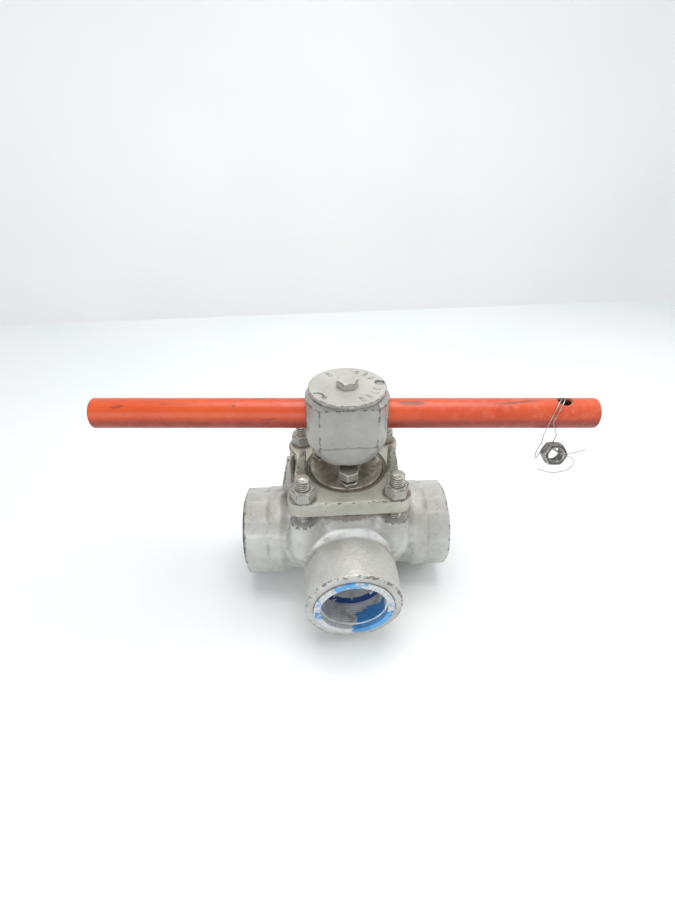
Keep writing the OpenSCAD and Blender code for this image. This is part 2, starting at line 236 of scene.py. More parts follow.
def bulge(field, points, reach):
    """About 1 on an outside edge, 0 on a flat and -1 in an inside corner."""
    total = -6.0 * field(*points.T)
    for i in range(3):
        for side in (-reach, reach):
            moved = points.copy()
            moved[:, i] += side
            total = total + field(*moved.T)
    return np.clip(total / reach, -1.5, 1.5)


def turned(points, degrees):
    if not degrees:
        return points
    a = math.radians(degrees)
    c, s = math.cos(a), math.sin(a)
    return points @ np.array([[c, s, 0.0], [-s, c, 0.0], [0.0, 0.0, 1.0]])


def object_of(name, points, faces, marks=None, smooth=True):
    """A Blender mesh object from points in millimetres, with its marks as attributes."""
    mesh = bpy.data.meshes.new(name)
    faces = np.asarray(faces)
    mesh.vertices.add(len(points))
    mesh.vertices.foreach_set("co", (points * MM).astype(np.float32).ravel())
    sides = faces.shape[1]
    mesh.loops.add(faces.size)
    mesh.loops.foreach_set("vertex_index", faces.astype(np.int32).ravel())
    mesh.polygons.add(len(faces))
    mesh.polygons.foreach_set("loop_start", np.arange(0, faces.size, sides, dtype=np.int32))
    mesh.polygons.foreach_set("use_smooth", np.full(len(faces), smooth))
    for mark, values in (marks or {}).items():
        layer = mesh.attributes.new(mark, "FLOAT", "POINT")
        layer.data.foreach_set("value", np.asarray(values, np.float32))
    mesh.update(calc_edges=True)
    mesh.validate()
    made = bpy.data.objects.new(name, mesh)
    bpy.context.scene.collection.objects.link(made)
    return made


def ramp(value, low, high):
    """0 at low and 1 at high, smooth in between."""
    t = np.clip((value - low) / (high - low), 0.0, 1.0)
    return t * t * (3.0 - 2.0 * t)


def modelled(name, field, low, high, step, degrees=0.0, reach=2.0, **rules):
    """A mesh object of a field, with its edges and hollows marked for the materials.
    A rule named seam adds to the grime mark where it is 1: dirt on the head and the disc, painted shade
    on the body and the cover. Any other rule is a mark of its own."""
    points, faces = surface_net(sampled(field, low, high, step))
    points = settled(field, points * step + np.array(low, float), step)
    curve = bulge(field, points, reach)
    marks = {"wear": np.maximum(curve, 0.0), "grime": np.maximum(-curve, 0.0)}
    if "seam" in rules:
        marks["grime"] = np.maximum(marks["grime"], rules.pop("seam")(*points.T))
    for mark, rule in rules.items():
        marks[mark] = rule(*points.T)
    return object_of(name, turned(points, degrees), faces, marks)


def add_mark(piece, name, values):
    layer = piece.data.attributes.new(name, "FLOAT", "POINT")
    layer.data.foreach_set("value", np.asarray(values, np.float32))


def finish(piece, body, slot, shader, *nodes):
    """Gives a piece its material and body, and hides the CAD nodes it stands for; its slot is not used.
    """
    piece.data.materials.clear()
    piece.data.materials.append(shader)
    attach(piece, body)
    if nodes:
        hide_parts(*nodes)


def joined(name, parts):
    """One object from several, which keep their marks."""
    for part in parts:
        part.select_set(True)
    bpy.context.view_layer.objects.active = parts[0]
    with bpy.context.temp_override(
        active_object=parts[0], selected_editable_objects=parts, selected_objects=parts
    ):
        bpy.ops.object.join()
    parts[0].name = name
    parts[0].data.name = name
    parts[0].select_set(False)
    return parts[0]


# ---- Swept and threaded meshes ----------------------------------------------------


def rod_faces(rows, columns):
    """Quads of a closed tube of rings, with two centre points last for its ends."""
    i, j = np.meshgrid(np.arange(rows - 1), np.arange(columns), indexing="ij")
    k = (j + 1) % columns
    wall = np.stack(
        [i * columns + j, i * columns + k, (i + 1) * columns + k, (i + 1) * columns + j], -1
    )
    return wall.reshape(-1, 4)


def threaded_rod(name, radius, low, high, pitch, depth, tip, sides=48):
    """An upright rod with a real helical thread and chamfered ends."""
    z = np.arange(low, high + 1e-6, pitch / 12)[:, None]
    theta = np.linspace(0.0, 2 * math.pi, sides, endpoint=False)[None, :]
    wave = np.abs(((z / pitch - theta / (2 * math.pi)) % 1.0) * 2.0 - 1.0)
    r = radius - depth * np.clip((wave - 0.14) / 0.72, 0.0, 1.0)
    r = np.minimum(r, radius - tip + np.minimum(z - low, high - z))
    points = np.stack([r * np.cos(theta), r * np.sin(theta), z + 0 * theta], -1).reshape(-1, 3)
    rows = len(z)
    ends = np.array([[0.0, 0.0, z[0, 0]], [0.0, 0.0, z[-1, 0]]])
    base = rows * sides
    j = np.arange(sides)
    k = (j + 1) % sides
    bottom = np.stack([k, j, np.full(sides, base), np.full(sides, base)], 1)
    top = np.stack([(rows - 1) * sides + j, (rows - 1) * sides + k], 1)
    mesh = bpy.data.meshes.new(name)
    quads = rod_faces(rows, sides).tolist()
    fans = [[int(a), int(b), base] for a, b in bottom[:, :2]]
    fans += [[int(a), int(b), base + 1] for a, b in top]
    mesh.from_pydata((np.vstack([points, ends]) * MM).tolist(), [], quads + fans)
    mesh.polygons.foreach_set("use_smooth", np.ones(len(mesh.polygons), bool))
    made = bpy.data.objects.new(name, mesh)
    bpy.context.scene.collection.objects.link(made)
    sunk = ramp(radius - r, 0.3 * depth, 0.75 * depth) * (np.minimum(z - low, high - z) > tip)
    add_mark(made, "grime", np.append(sunk.ravel(), (0.0, 0.0)))
    return made


def port_thread(name, way, deep, mouth, crest, root, sides=180):
    """The female thread of one port, as a closed ring let into the socket's wall."""
    pitch = 2.209
    back = 31.0
    t = np.arange(deep, mouth + 1e-6, pitch / 9)[:, None]
    theta = np.linspace(0.0, 2 * math.pi, sides, endpoint=False)[None, :]
    wave = np.abs(((t / pitch - theta / (2 * math.pi)) % 1.0) * 2.0 - 1.0)
    fade = np.clip(np.minimum(t - deep, mouth - t) / 1.6, 0.0, 1.0)
    inner = root - (root - crest) * wave * fade
    outer = np.full((2, sides), back)
    r = np.vstack([inner, outer])
    along = np.vstack([t + 0 * theta, np.full((1, sides), mouth), np.full((1, sides), deep)])
    angle = np.repeat(theta, len(r), 0)
    across, up = r * np.cos(angle), r * np.sin(angle) + PORT_Z
    if way == "x":
        points = np.stack([along, across, up], -1)
    elif way == "-x":
        points = np.stack([-along, -across, up], -1)
    else:
        points = np.stack([across, -along, up], -1)
    rows = len(r)
    i, j = np.meshgrid(np.arange(rows), np.arange(sides), indexing="ij")
    down, k = (i + 1) % rows, (j + 1) % sides
    faces = np.stack([i * sides + j, down * sides + j, down * sides + k, i * sides + k], -1)
    points = points.reshape(-1, 3)
    return object_of(name, points, faces.reshape(-1, 4)), points


# ---- The body casting -------------------------------------------------------------


def run_hub(t, y, z, flat):
    """One run hub and its neck. flat is how far out its eight faint flats lie."""
    up = z - PORT_Z
    radius = np.hypot(y, up)
    neck = np.maximum(radius - 40.8, between(t, -5.0, 72.0))
    shell = radius - 44.2
    for angle in (22.5, 67.5, 112.5, 157.5):
        across, _ = spun(y, up, angle)
        shell = smax(shell, np.abs(across) - flat, 0.5)
    hub = rounded(shell, between(t, 63.0, 160.0), 5.0)
    return smax(smin(neck, hub, 9.0), t - CENTRE_TO_END, 2.4)


def body_outside(x, y, z):
    radius = np.hypot(x, y)
    field = rounded(radius - 50.0, between(z, 3.0, 163.0), 14.0)
    corner = np.hypot(np.maximum(np.abs(x) - 32.0, 0.0), np.maximum(np.abs(y) - 32.0, 0.0))
    field = smin(field, rounded(corner - 18.0, between(z, 48.0, 100.0), 9.0), 6.0)
    boss_r = np.interp(z, (50.0, 68.0, 76.0, 97.0), (8.5, 17.0, 17.0, 13.0))
    for side_x in (-1, 1):
        for side_y in (-1, 1):
            away = np.hypot(x - side_x * STUD_HALF, y - side_y * STUD_HALF)
            boss = rounded(away - boss_r, between(z, 48.0, 105.0), 2.0)
            field = smin(field, boss, 10.0)
    field = smin(field, run_hub(x, y, z, 43.7), 10.0)
    field = smin(field, run_hub(-x, y, z, 42.9), 10.0)
    branch = np.hypot(x, z - PORT_Z) - 44.2
    front = smax(np.maximum(branch, 30.0 + y), -y - CENTRE_TO_END, 2.4)
    field = smin(field, front, 6.0)
    field = smin(field, ear(x, y, z), 5.0)
    pad = rounded(radius - 35.0, between(z, 0.0, 20.0), 1.2)
    field = smin(field, pad, 2.0)
    return smax(field, z - np.where(radius < 51.0, 114.5, 137.5), 0.6)


def ear(x, y, z):
    """The upright lug cast on the left of the body, beside the cover."""
    outer = -0.981 * (x + 66.0) + 0.193 * (z - 90.0)
    side = smax(outer, x + 50.0, 2.5)
    slab = rounded(side, between(y, 6.0, 15.0), 1.8)
    return smax(slab, between(z, 70.0, 137.0), 3.0)


def body_inside(x, y, z):
    """The plug's seat and the waterways, without the three sockets."""
    radius = np.hypot(x, y)
    cone = radius - (34.0 + (z - 9.0) * 0.0723)
    seat = np.maximum(cone, between(z, 9.0, 96.5))
    field = smin(seat, np.maximum(radius - 42.0, between(z, 96.0, 130.0)), 0.5)
    up = z - PORT_Z
    run = np.maximum(np.hypot(y, up) - WAY_R, between(x, -80.0, 80.0))
    branch = np.maximum(np.hypot(x, up) - WAY_R, between(y, -80.0, 0.0))
    return smin(smin(field, run, 2.0), branch, 2.0)


def body_field(x, y, z):
    field = cut(body_outside(x, y, z), body_inside(x, y, z), 1.2)
    up = z - PORT_Z
    for along, across, relief in ((x, y, 0.0), (-x, y, 3.2), (-y, x, 3.2)):
        radius = np.hypot(across, up)
        socket = rounded(radius - 29.7, between(along, CENTRE_TO_END - 26.0, 140.0), 0.8)
        field = cut(field, socket, 1.0)
        if relief:
            step = np.maximum(radius - 32.9, between(along, CENTRE_TO_END - relief, 140.0))
            field = cut(field, step, 0.8)
        else:
            mouth = (radius - 29.4 - (along - CENTRE_TO_END + 1.5)) * 0.7
            field = cut(field, np.maximum(mouth, CENTRE_TO_END - 4.0 - along), 0.5)
    lumps = np.sin(x * 0.21 + 1.0) * np.sin(y * 0.19 + 2.0) * np.sin(z * 0.23)
    return field + 0.12 * lumps


def in_bore(x, y, z):
    """1 inside the ports and the cavity, 0 on the outside."""
    up = z - PORT_Z
    inside = np.zeros_like(x)
    for along, across in ((x, y), (-x, y), (-y, x)):
        deep = (np.hypot(across, up) < 33.6) & (along > 20.0) & (along < CENTRE_TO_END - 0.3)
        inside = np.maximum(inside, deep)
    return inside


def front_ledge(x, y, z):
    """1 on the step between the front socket and its waterway, where blue paint is darkened to deep navy
    as painted shade.
    """
    radius = np.hypot(x, z - PORT_Z)
    return (np.abs(-y - CENTRE_TO_END + 26.0) < 1.8) & (radius < 30.5) & (radius > 22.0)


def branch_fillet_highlight(x, y, z):
    """1 along the fillet where the front branch leaves the body, which is painted pale as a highlight.
    """
    off_hub = np.abs(np.hypot(x, z - PORT_Z) - 45.5)
    off_barrel = np.abs(y + 52.5)
    near = (1.0 - ramp(off_hub, 1.5, 4.5)) * (1.0 - ramp(off_barrel, 2.5, 7.0))
    return near * ramp(z, 62.0, 76.0)


def shade_under_cover(x, y, z):
    """1 on the neck below the cover, and in the gap round each port's ring: painted shade, added to the
    grime mark.
    """
    neck = ramp(z, 103.0, 111.0) * (np.hypot(x, y) < 54.0) * 0.8
    up = z - PORT_Z
    for along, across in ((-x, y), (-y, x)):
        gap = np.abs(np.hypot(across, up) - 35.5) < 1.6
        neck = np.maximum(neck, 0.7 * gap * (along > CENTRE_TO_END - 1.0))
    return neck


def blue_patch(points):
    """Where blue paint shows on the front ring and the wall behind it, by angle."""
    angle = np.degrees(np.arctan2(points[:, 2] - PORT_Z, points[:, 0]))
    found = np.zeros(len(points))
    for middle, reach, amount in ((96, 30, 0.75), (-48, 42, 1.0), (178, 26, 0.5), (20, 20, 0.45)):
        away = np.abs((angle - middle + 180.0) % 360.0 - 180.0)
        found = np.maximum(found, amount * (1.0 - ramp(away, 0.6 * reach, 1.2 * reach)))
    return found


def make_body(shaders):
    low = (-104.0, -104.0, -2.0)
    high = (104.0, 62.0, 140.0)
    step = 1.15
    body = modelled(
        "body_casting", body_field, low, high, step, 0.0, 2.2,
        bore=in_bore, ledge=front_ledge, seam=shade_under_cover, fillet=branch_fillet_highlight,
    )
    finish(body, "valve", "body_paint", shaders["body"], "valve_body")
    for name, way, mouth in (
        ("thread_right", "x", 99.6),
        ("thread_left", "-x", 98.0),
        ("thread_front", "-y", 98.0),
    ):
        ring, points = port_thread(name, way, CENTRE_TO_END - 25.4, mouth, 29.1, 29.5)
        near = ramp(-points[:, 1], 80.0, 90.0)
        add_mark(ring, "blue", blue_patch(points) * near if way == "-y" else 0.0 * near)
        finish(ring, "valve", "body_paint", shaders["bore"])


# ---- Cover, studs and nuts --------------------------------------------------------


def cover_field(x, y, z):
    corner = 12.7
    half_x, half_y = 55.8, 52.0
    over_x = np.abs(x) - (half_x - corner)
    over_y = np.abs(y) - (half_y - corner)
    outline = np.hypot(np.maximum(over_x, 0.0), np.maximum(over_y, 0.0))
    outline = outline + np.minimum(np.maximum(over_x, over_y), 0.0) - corner
    flare = 0.447 * np.maximum(-y - 17.0, 0.0) + 0.543 * np.maximum(y - 20.0, 0.0)
    waist = (np.abs(x) - 49.2 - flare) * 0.91
    field = rounded(smax(outline, waist, 4.0), between(z, 116.0, COVER_TOP), 2.0)
    top = COVER_TOP + 27.0
    rise = np.clip((z - COVER_TOP) / 27.0, 0.0, 1.0)
    outer = 48.4 - 5.3 * rise**1.4
    lug = between(np.abs(x), 37.9, outer)
    lug = rounded(lug, between(y, -15.0, -5.0), 2.0)
    lug = smax(lug, between(z, 122.0, top), 3.0)
    field = smin(field, lug, 3.5)
    radius = np.hypot(x, y)
    pocket = np.maximum(radius - 34.6, COVER_TOP - 8.0 - z)
    step = np.maximum(radius - 37.8, COVER_TOP - 1.2 - z)
    recess = smin(pocket, step, 0.4)
    field = cut(field, np.where(z > COVER_TOP + 4.0, 1.0, recess), 0.9)
    lumps = np.sin(x * 0.31 + 0.4) * np.sin(y * 0.27 + 1.7) * np.sin(z * 0.3 + 0.5)
    return field + 0.1 * lumps


def cover_painted_shade(x, y, z):
    """Painted shade round the nuts and round the adjuster disc, and along the plate's lower edge."""
    found = 0.9 * ((np.hypot(x, y) < 38.6) & (z < COVER_TOP + 1.0))
    for stud_x, stud_y in at_studs():
        near = 1.0 - ramp(np.hypot(x - stud_x, y - stud_y), 10.5, 15.0)
        found = np.maximum(found, 0.6 * near * (z > COVER_TOP - 1.0))
    return np.maximum(found, 0.8 * (1.0 - ramp(z, 116.0, 118.0)))


def at_studs():
    return [(x * STUD_HALF, y * STUD_HALF) for x in (-1, 1) for y in (-1, 1)]


def make_cover(shaders):
    step = 0.75
    cover = modelled(
        "cover_casting", cover_field, (-58.0, -54.0, 113.0), (58.0, 54.0, 162.0), step, 0.0, 1.5,
        seam=cover_painted_shade,
    )
    finish(cover, "valve", "cover_paint", shaders["cover"], "cover_plate")
    studs = []
    for x, y in at_studs():
        stud = threaded_rod("stud", 6.35, 100.0, 154.6, 2.309, 1.25, 1.0)
        stud.data.transform(Matrix.Translation((x * MM, y * MM, 0.0)))
        studs.append(stud)
    finish(joined("stud_threads", studs), "valve", "stud_steel", shaders["stud"], "cover_studs")
    step = 0.4
    nuts = []
    for (x, y), turn in zip(at_studs(), (0.0, 14.0, 8.0, 22.0)):
        nut = modelled("nut", nut_field, (-12, -12, 131), (12, 12, 145), step, turn, 0.9)
        nut.data.transform(Matrix.Translation((x * MM, y * MM, 0.0)))
        nuts.append(nut)
    finish(joined("nuts_on_cover", nuts), "valve", "nut_paint", shaders["nut"], "cover_nuts")


def nut_field(x, y, z):
    field = hex_field(x, y, z, 19.05, COVER_TOP, COVER_TOP + 11.1, False, True)
    washer = rounded(np.hypot(x, y) - 9.2, between(z, COVER_TOP, COVER_TOP + 0.9), 0.2)
    return cut(smin(field, washer, 0.4), np.hypot(x, y) - 6.2, 0.5)


# ---- Adjusting screws -------------------------------------------------------------


def screw_head_field(x, y, z):
    return hex_field(x, y, z, 17.4, 140.8, 149.2, True, True)


def jam_nut_field(x, y, z):
    field = hex_field(x, y, z, 17.0, 133.0, 138.0, False, True)
    return cut(field, np.hypot(x, y) - 4.9, 0.4)


def make_screws(shaders):
    step = 0.38
    jams = []
    names = ("front", "left", "right")
    for angle, turn, side in zip(SCREW_ANGLES, (20.0, 0.0, 45.0), names):
        a = math.radians(angle)
        move = Matrix.Translation(
            (SCREW_RING * math.cos(a) * MM, SCREW_RING * math.sin(a) * MM, 0.0)
        )
        head = modelled(
            "head", screw_head_field, (-10.5, -10.5, 139.5), (10.5, 10.5, 151), step, turn, 0.8
        )
        shank = threaded_rod("shank", 5.0, 110.0, 141.5, 1.5, 0.85, 0.8)
        screw = joined("screw_" + side, [head, shank])
        screw.data.transform(move)
        finish(
            screw, "screw_" + side, "screw_steel", shaders["screw"], "adjusting_screw_" + side
        )
        jam = modelled("jam", jam_nut_field, (-10.5, -10.5, 132), (10.5, 10.5, 140), step, 12.0, 0.8)
        jam.data.transform(move)
        jams.append(jam)
    finish(joined("jam_nut_set", jams), "valve", "screw_steel", shaders["screw"], "jam_nuts")


# ---- Wrench head, disc and bolt ---------------------------------------------------


def head_field(x, y, z):
    radius = np.hypot(x, y)
    _, across = spun(x, y, FLATS_TURN)
    ledge = 0.6 * np.clip((172.6 - z) / 0.8, 0.0, 1.0)
    side = smax(radius - 36.6, np.abs(across) - 26.8 + ledge, 0.5)
    foot = 0.825 * (radius - 27.2) - 0.566 * (z - 152.0)
    shoulder = 0.78 * side + 0.626 * (z - 210.8)
    field = smax(smax(side, foot, 4.0), shoulder, 0.4)
    field = smax(smax(field, 152.0 - z, 1.6), z - 215.6, 0.5)
    from_hole = np.hypot(y, z - HANDLE_Z)
    field = smin(field, rounded(from_hole - 16.0, np.abs(x) - 35.1, 1.0), 2.0)
    field = cut(field, from_hole - 13.5, 1.2)
    screw_hole = np.maximum(np.hypot(x, z - 165.0) - 4.05, 9.0 - y)
    field = cut(field, screw_hole, 0.6)
    lumps = np.sin(x * 0.33) * np.sin(y * 0.29 + 0.8) * np.sin(z * 0.27 + 1.1)
    return field + 0.08 * lumps


def disc_field(x, y, z):
    radius = np.hypot(x, y)
    field = rounded(radius - 33.5, between(z, 215.6, DISC_TOP), 0.6)
    dimple = np.hypot(x - 28.0, y - 6.0) - 4.3
    field = cut(field, np.maximum(dimple, DISC_TOP - 1.7 - z), 0.5)
    arc_x, arc_y = x + 26.5, y + 19.5
    angle = np.degrees(np.arctan2(arc_y, arc_x))
    arc = np.maximum(np.abs(np.hypot(arc_x, arc_y) - 7.4) - 0.65, (np.abs(angle - 58.0) - 48.0) * 0.12)
    barb = np.maximum(np.abs(x + 19.2) - 0.55 * (y + 22.8), y + 18.6)
    groove = np.minimum(arc, barb)
    field = cut(field, np.maximum(groove, DISC_TOP - 0.8 - z), 0.35)
    for tick in (-62.0, -44.0, -26.0, -12.0, 34.0, 52.0, 70.0, 128.0):
        along, across = spun(x, y, tick)
        bar = np.maximum(between(along, 22.5, 28.0), np.abs(across) - 0.7)
        field = smin(field, np.maximum(bar, between(z, 218.0, DISC_TOP + 0.4)), 0.35)
    return cut(field, radius - 5.1, 0.3)


def disc_edge_dirt(x, y, z):
    """Dirt on the disc's edge, and most of it in the seam under the disc."""
    return 1.0 - 0.7 * ramp(z, 215.9, 216.6) - 0.3 * ramp(z, 218.2, 218.8)


def head_seam(x, y, z):
    return 0.9 * ramp(z, 214.9, 215.5)


def bolt_field(x, y, z):
    head = hex_field(x, y, z, 16.9, DISC_TOP, DISC_TOP + 6.1, False, True)
    return smin(head, np.maximum(np.hypot(x, y) - 4.9, between(z, 207.0, 221.0)), 0.3)


def make_head(shaders):
    head = modelled(
        "head_casting", head_field, (-39, -30, 150), (39, 30, 218), 0.75,
        REST_TURN, 1.6, seam=head_seam,
    )
    finish(head, "rotor", "head_paint", shaders["head"], "wrench_head")
    disc = modelled(
        "disc_marked", disc_field, (-35, -35, 214), (35, 35, 221.5), 0.5,
        REST_TURN, 0.9, seam=disc_edge_dirt,
    )
    finish(disc, "rotor", "disc_metal", shaders["disc"], "indicator_disc")
    bolt = modelled(
        "bolt_head", bolt_field, (-10.5, -10.5, 206), (10.5, 10.5, 227.5), 0.38,
        REST_TURN + 12.0, 0.8,
    )
    finish(bolt, "clamp_bolt", "screw_steel", shaders["bolt"], "clamp_bolt")


# ---- Handle -----------------------------------------------------------------------


def handle_field(x, y, z):
    up = z - HANDLE_Z
    radius = np.hypot(y, up)
    wall = np.abs(radius - 11.9) - 1.45
    field = rounded(wall, between(x, -223.4, 218.4), 0.9)
    hole = np.hypot(x - 189.0, y) - 6.0
    return cut(field, hole, 0.8)


def pipe_inside(x, y, z):
    return (np.hypot(y, z - HANDLE_Z) < 11.4).astype(float)


# 1 on the pipe's underside, which the handle paint darkens as painted shade.
def painted_underside_shade(x, y, z):
    return 1.0 - ramp(0.84 * (z - HANDLE_Z) + 0.54 * y, -9.5, -3.5)


def make_handle(shaders):
    step = 1.0
    handle = modelled(
        "handle_bar", handle_field, (-226, -15, 177), (221, 15, 207), step, REST_TURN, 1.4,
        bore=pipe_inside, under=painted_underside_shade,
    )
    finish(handle, "handle", "handle_paint", shaders["handle"], "handle_pipe")


# ---- The tie wire and its nut -----------------------------------------------------

HANGING_CENTRE = (188.0, -13.0, 157.0)
HANGING_TILT = 20.0
WIRE_R = 0.4
WIRE_ROUTE = [
    (209, -23, 169), (203, -23, 166.5), (197, -22.5, 164.5), (191, -19.5, 162.6),
    (189, -13, 161), (189, -6, 160), (189.5, -3.5, 164), (187.5, -8, 171),
    (184, -13, 179), (179.5, -14.9, 187), (177.5, -14.5, 192), (180, -12.9, 198.5),
    (184.5, -7.5, 204.6), (188, -2, 207), (190, 1, 205.6), (190.2, 1.6, 202.6),
    (189, 1.4, 201.2), (187.4, 1.2, 202.6), (186.2, 0, 205.9), (184, -3, 206.6),
    (180, -8.6, 203.9), (176, -13.3, 198), (173.8, -14.9, 190), (173, -14.2, 182.5),
    (173.8, -12.5, 175), (175.2, -10.5, 167), (174.5, -8.5, 159), (173.4, -10, 152.5),
    (175.5, -9.5, 148.5), (178, -6.5, 149.5), (182, -3.4, 153.5), (185.5, -3.2, 158.5),
    (186.8, -7.5, 160.2), (187, -13, 161.1), (188.5, -20.4, 163.2), (194, -23, 162),
    (201, -22, 158), (205.5, -20, 150.5), (203.5, -18, 142.5), (196, -17, 138.2),
    (186, -16.5, 138), (177, -16, 141),
]


def smooth_route(points, steps):
    """A Catmull-Rom curve through the points."""
    p = np.array(points, float)
    padded = np.vstack([p[:1], p, p[-1:]])
    made = []
    for a, b, c, d in zip(padded, padded[1:], padded[2:], padded[3:]):
        for s in range(steps):
            t = s / steps
            made.append(
                0.5 * (2 * b + (c - a) * t + (2 * a - 5 * b + 4 * c - d) * t * t
                       + (3 * b - a - 3 * c + d) * t**3)
            )
    made.append(p[-1])
    return np.array(made)


def hanging_nut_field(x, y, z):
    half = 5.55
    field = hex_field(x, y, z, 19.05, -half, half, True, True)
    pitch = 1.954
    turn = np.arctan2(y, x) / (2 * math.pi)
    wave = np.abs(((z / pitch - turn) % 1.0) * 2.0 - 1.0)
    bore = (np.hypot(x, y) - 6.35 - 0.9 * np.clip((wave - 0.1) / 0.8, 0.0, 1.0)) * 0.75
    return cut(field, bore, 0.25)


def make_hanging_tag(shaders):
    step = 0.33
    nut = modelled("nut_hanging", hanging_nut_field, (-12, -12, -7), (12, 12, 7), step, 0.0, 0.9)
    tilt = Matrix.Rotation(math.radians(90.0 - HANGING_TILT), 4, "X")
    turn = Matrix.Rotation(math.radians(REST_TURN), 4, "Z")
    place = Matrix.Translation([c * MM for c in HANGING_CENTRE])
    nut.data.transform(turn @ place @ tilt)
    finish(nut, "hanging_tag", "hanging_steel", shaders["hanging"], "hanging_nut")

    route = turned(smooth_route(WIRE_ROUTE, 5), REST_TURN) * MM
    curve = bpy.data.curves.new("tie_wire_curve", "CURVE")
    curve.dimensions = "3D"
    curve.bevel_depth = WIRE_R * MM
    curve.bevel_resolution = 3
    curve.use_fill_caps = True
    spline = curve.splines.new("POLY")
    spline.points.add(len(route) - 1)
    for point, place in zip(spline.points, route):
        point.co = (*place, 1.0)
    wire = bpy.data.objects.new("wire_twist", curve)
    bpy.context.scene.collection.objects.link(wire)
    finish(wire, "hanging_tag", "wire_steel", shaders["wire"], "tie_wire")


# ---- Thread protectors ------------------------------------------------------------


def protector_profile(t, radius):
    flange = rounded(between(radius, 30.6, 36.4), between(t, 0.0, 2.0), 0.5)
    spigot = rounded(between(radius, 30.6, 32.7), between(t, -3.0, 1.0), 0.3)
    return smin(flange, spigot, 0.3)


def front_protector_field(x, y, z):
    radius = np.hypot(x, z - PORT_Z)
    wobble = 0.25 * np.sin(3.0 * np.arctan2(z - PORT_Z, x) + 0.6)
    return protector_profile(-y - CENTRE_TO_END, radius + wobble)


def left_protector_field(x, y, z):
    radius = np.hypot(y, z - PORT_Z)
    return protector_profile(-x - CENTRE_TO_END, radius)


def make_protectors(shaders):
    step = 0.55
    front = modelled(
        "ring_front", front_protector_field, (-39, -105, 11), (39, -97, 89), step, 0.0, 0.8,
        blue=lambda x, y, z: blue_patch(np.stack([x, y, z], 1)),
    )
    finish(front, "protector_front", "protector_blue", shaders["blue"], "front_protector")
    # The left ring is the blue plastic darkened as painted shade.
    left = modelled(
        "ring_left", left_protector_field, (-105, -39, 11), (-97, 39, 89), step, 0.0, 0.8
    )
    finish(left, "protector_left", "protector_navy", shaders["blue_in_shade"], "left_protector")


# ---- Materials --------------------------------------------------------------------


class Shader:
    """Builds one node material. Values are numbers, colours or sockets."""

    def __init__(self, name):
        self.mat = bpy.data.materials.new(name)
        self.mat.use_nodes = True
        self.tree = self.mat.node_tree
        self.tree.nodes.clear()
        output = self.tree.nodes.new("ShaderNodeOutputMaterial")
        self.bsdf = self.tree.nodes.new("ShaderNodeBsdfPrincipled")
        self.tree.links.new(self.bsdf.outputs[0], output.inputs["Surface"])
        self.place = self.tree.nodes.new("ShaderNodeTexCoord").outputs["Object"]

    def feed(self, socket, value):
        if isinstance(value, bpy.types.NodeSocket):
            self.tree.links.new(value, socket)
        elif isinstance(value, tuple) and len(value) == 3 and socket.type == "RGBA":
            socket.default_value = (*value, 1.0)
        else:
            socket.default_value = value

    def noise(self, scale, detail=3.0, rough=0.55, distort=0.0, place=None):
        node = self.tree.nodes.new("ShaderNodeTexNoise")
        self.feed(node.inputs["Vector"], place or self.place)
        node.inputs["Scale"].default_value = scale
        node.inputs["Detail"].default_value = detail
        node.inputs["Roughness"].default_value = rough
        node.inputs["Distortion"].default_value = distort
        return node.outputs["Fac"]

    def cells(self, scale, feature="F1"):
        node = self.tree.nodes.new("ShaderNodeTexVoronoi")
        self.feed(node.inputs["Vector"], self.place)
        node.feature = feature
        node.inputs["Scale"].default_value = scale
        return node.outputs["Distance"]

    def stretched(self, x, y, z, shift=0.0):
        node = self.tree.nodes.new("ShaderNodeMapping")
        self.feed(node.inputs["Vector"], self.place)
        node.inputs["Scale"].default_value = (x, y, z)
        node.inputs["Location"].default_value = (shift, shift, shift)
        return node.outputs["Vector"]

    def mark(self, name):
        node = self.tree.nodes.new("ShaderNodeAttribute")
        node.attribute_name = name
        return node.outputs["Fac"]

    def axis(self, which):
        node = self.tree.nodes.new("ShaderNodeSeparateXYZ")
        self.feed(node.inputs[0], self.place)
        return node.outputs[which]

    def span(self, value, low, high, to_low=0.0, to_high=1.0):
        """value taken from low..high to another range, smoothly and within it."""
        node = self.tree.nodes.new("ShaderNodeMapRange")
        node.interpolation_type = "SMOOTHSTEP"
        self.feed(node.inputs["Value"], value)
        node.inputs["From Min"].default_value = low
        node.inputs["From Max"].default_value = high
        node.inputs["To Min"].default_value = to_low
        node.inputs["To Max"].default_value = to_high
        return node.outputs["Result"]

    def math(self, kind, a, b=0.0):
        node = self.tree.nodes.new("ShaderNodeMath")
        node.operation = kind
        self.feed(node.inputs[0], a)
        self.feed(node.inputs[1], b)
        return node.outputs[0]

    def mix(self, share, a, b):
        node = self.tree.nodes.new("ShaderNodeMix")
        node.data_type = "RGBA"
        self.feed(node.inputs["Factor"], share)
        self.feed(node.inputs[6], a)
        self.feed(node.inputs[7], b)
        return node.outputs[2]

    def bump(self, height, distance, strength=1.0, under=None):
        node = self.tree.nodes.new("ShaderNodeBump")
        node.inputs["Strength"].default_value = strength
        node.inputs["Distance"].default_value = distance
        self.feed(node.inputs["Height"], height)
        if under is not None:
            self.feed(node.inputs["Normal"], under)
        return node.outputs["Normal"]

    def set(self, colour, rough, metal=0.0, normal=None, **more):
        self.feed(self.bsdf.inputs["Base Color"], colour)
        self.feed(self.bsdf.inputs["Roughness"], rough)
        self.feed(self.bsdf.inputs["Metallic"], metal)
        if normal is not None:
            self.feed(self.bsdf.inputs["Normal"], normal)
        for name, value in more.items():
            self.feed(self.bsdf.inputs[name.replace("_", " ")], value)
        return self.mat


